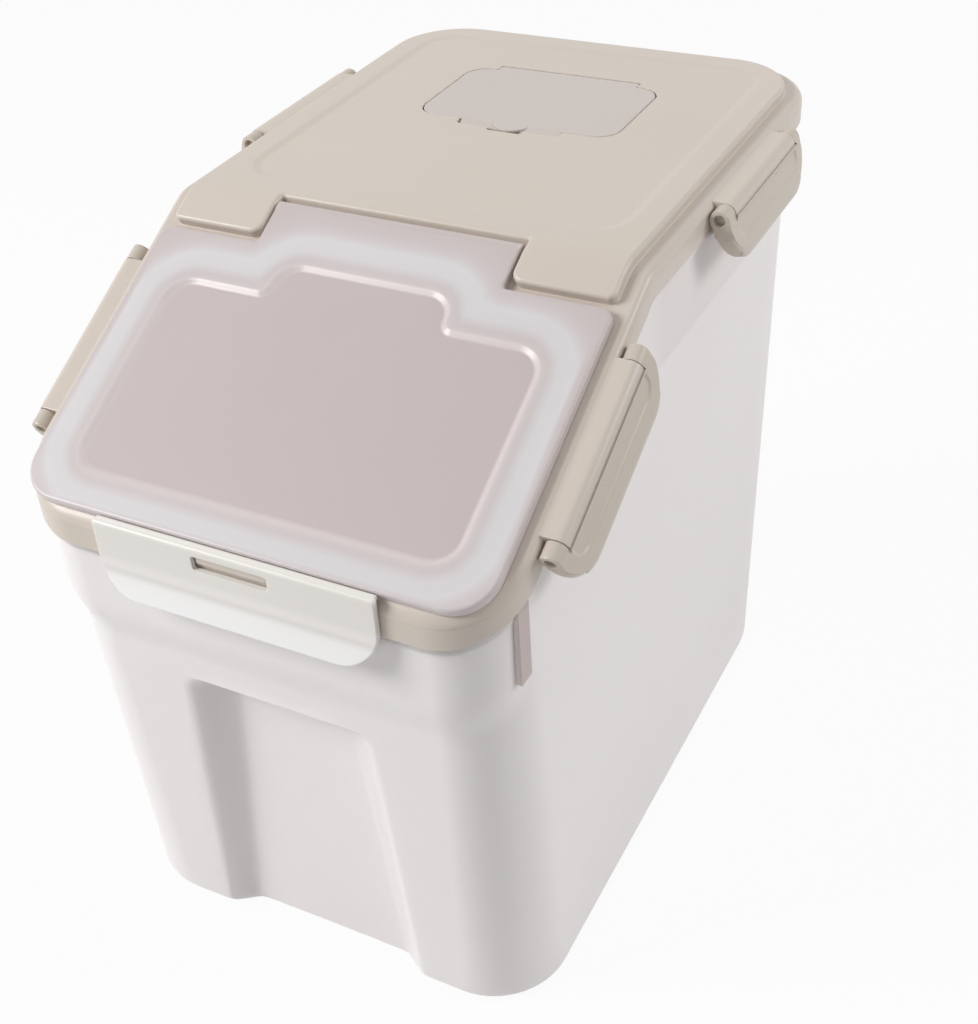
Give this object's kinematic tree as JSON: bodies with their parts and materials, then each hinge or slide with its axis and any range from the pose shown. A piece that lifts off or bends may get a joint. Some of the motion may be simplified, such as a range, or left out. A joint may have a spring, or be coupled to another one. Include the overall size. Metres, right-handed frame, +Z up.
{
  "type": "rice bin",
  "caption": "Rice bin with a sloped flip door in a removable lid, side clips, a front latch flap and a desiccant hatch.",
  "frame": {"origin": "centre of the tub's base, on the floor", "axes": "+Z up, +Y towards the back, +X to the right seen from the front"},
  "size_m": [0.2368, 0.3496, 0.2955],
  "materials": {
    "tub_plastic": "satin moulded polypropylene, milky and slightly see-through",
    "lid_plastic": "satin moulded plastic, beige",
    "door_plastic": "smooth moulded polypropylene, see-through",
    "hatch_plastic": "satin moulded plastic, pale pinkish grey",
    "tray_plastic": "smooth moulded polypropylene",
    "pin_plastic": "moulded plastic rod",
    "seal_silicone": "soft translucent silicone"
  },
  "bodies": {
    "tub": {"tub": "tub_plastic"},
    "lid": {"lid_frame": "lid_plastic", "rim_seal": "seal_silicone", "desiccant_tray": "tray_plastic", "door_pin_left": "pin_plastic", "door_pin_right": "pin_plastic", "clip_pin_front_left": "pin_plastic", "clip_pin_front_right": "pin_plastic", "clip_pin_rear_left": "pin_plastic", "clip_pin_rear_right": "pin_plastic", "desiccant_pin_left": "pin_plastic", "desiccant_pin_right": "pin_plastic"},
    "door": {"flip_door": "door_plastic", "door_seal": "seal_silicone"},
    "flap": {"latch_flap": "door_plastic"},
    "hatch": {"desiccant_door": "hatch_plastic"},
    "front_left_clip": {"clip_front_left": "lid_plastic"},
    "front_right_clip": {"clip_front_right": "lid_plastic"},
    "rear_left_clip": {"clip_rear_left": "lid_plastic"},
    "rear_right_clip": {"clip_rear_right": "lid_plastic"}
  },
  "joints": [
    {"name": "lid_lift", "type": "slide", "parent": "tub", "child": "lid", "axis": [0, 0, 1], "range_m": [0, 0.13]},
    {"name": "door_hinge", "type": "hinge", "parent": "lid", "child": "door", "pos_m": [0, -0.04054, 0.29016], "axis": [-1, 0, 0], "range_deg": [0, 120]},
    {"name": "flap_hinge", "type": "hinge", "parent": "door", "child": "flap", "pos_m": [0, -0.1713, 0.22537], "axis": [-1, 0, 0], "range_deg": [0, 75]},
    {"name": "hatch_hinge", "type": "hinge", "parent": "lid", "child": "hatch", "pos_m": [0, 0.1195, 0.2936], "axis": [-1, 0, 0], "range_deg": [0, 105]},
    {"name": "front_left_clip_hinge", "type": "hinge", "parent": "lid", "child": "front_left_clip", "pos_m": [-0.1096, -0.101, 0.25294], "axis": [0, 0.8877, 0.4605], "range_deg": [0, 100]},
    {"name": "front_right_clip_hinge", "type": "hinge", "parent": "lid", "child": "front_right_clip", "pos_m": [0.1096, -0.101, 0.25294], "axis": [0, -0.8877, -0.4605], "range_deg": [0, 100]},
    {"name": "rear_left_clip_hinge", "type": "hinge", "parent": "lid", "child": "rear_left_clip", "pos_m": [-0.1096, 0.063, 0.286], "axis": [0, 1, 0], "range_deg": [0, 100]},
    {"name": "rear_right_clip_hinge", "type": "hinge", "parent": "lid", "child": "rear_right_clip", "pos_m": [0.1096, 0.063, 0.286], "axis": [0, -1, 0], "range_deg": [0, 100]}
  ]
}
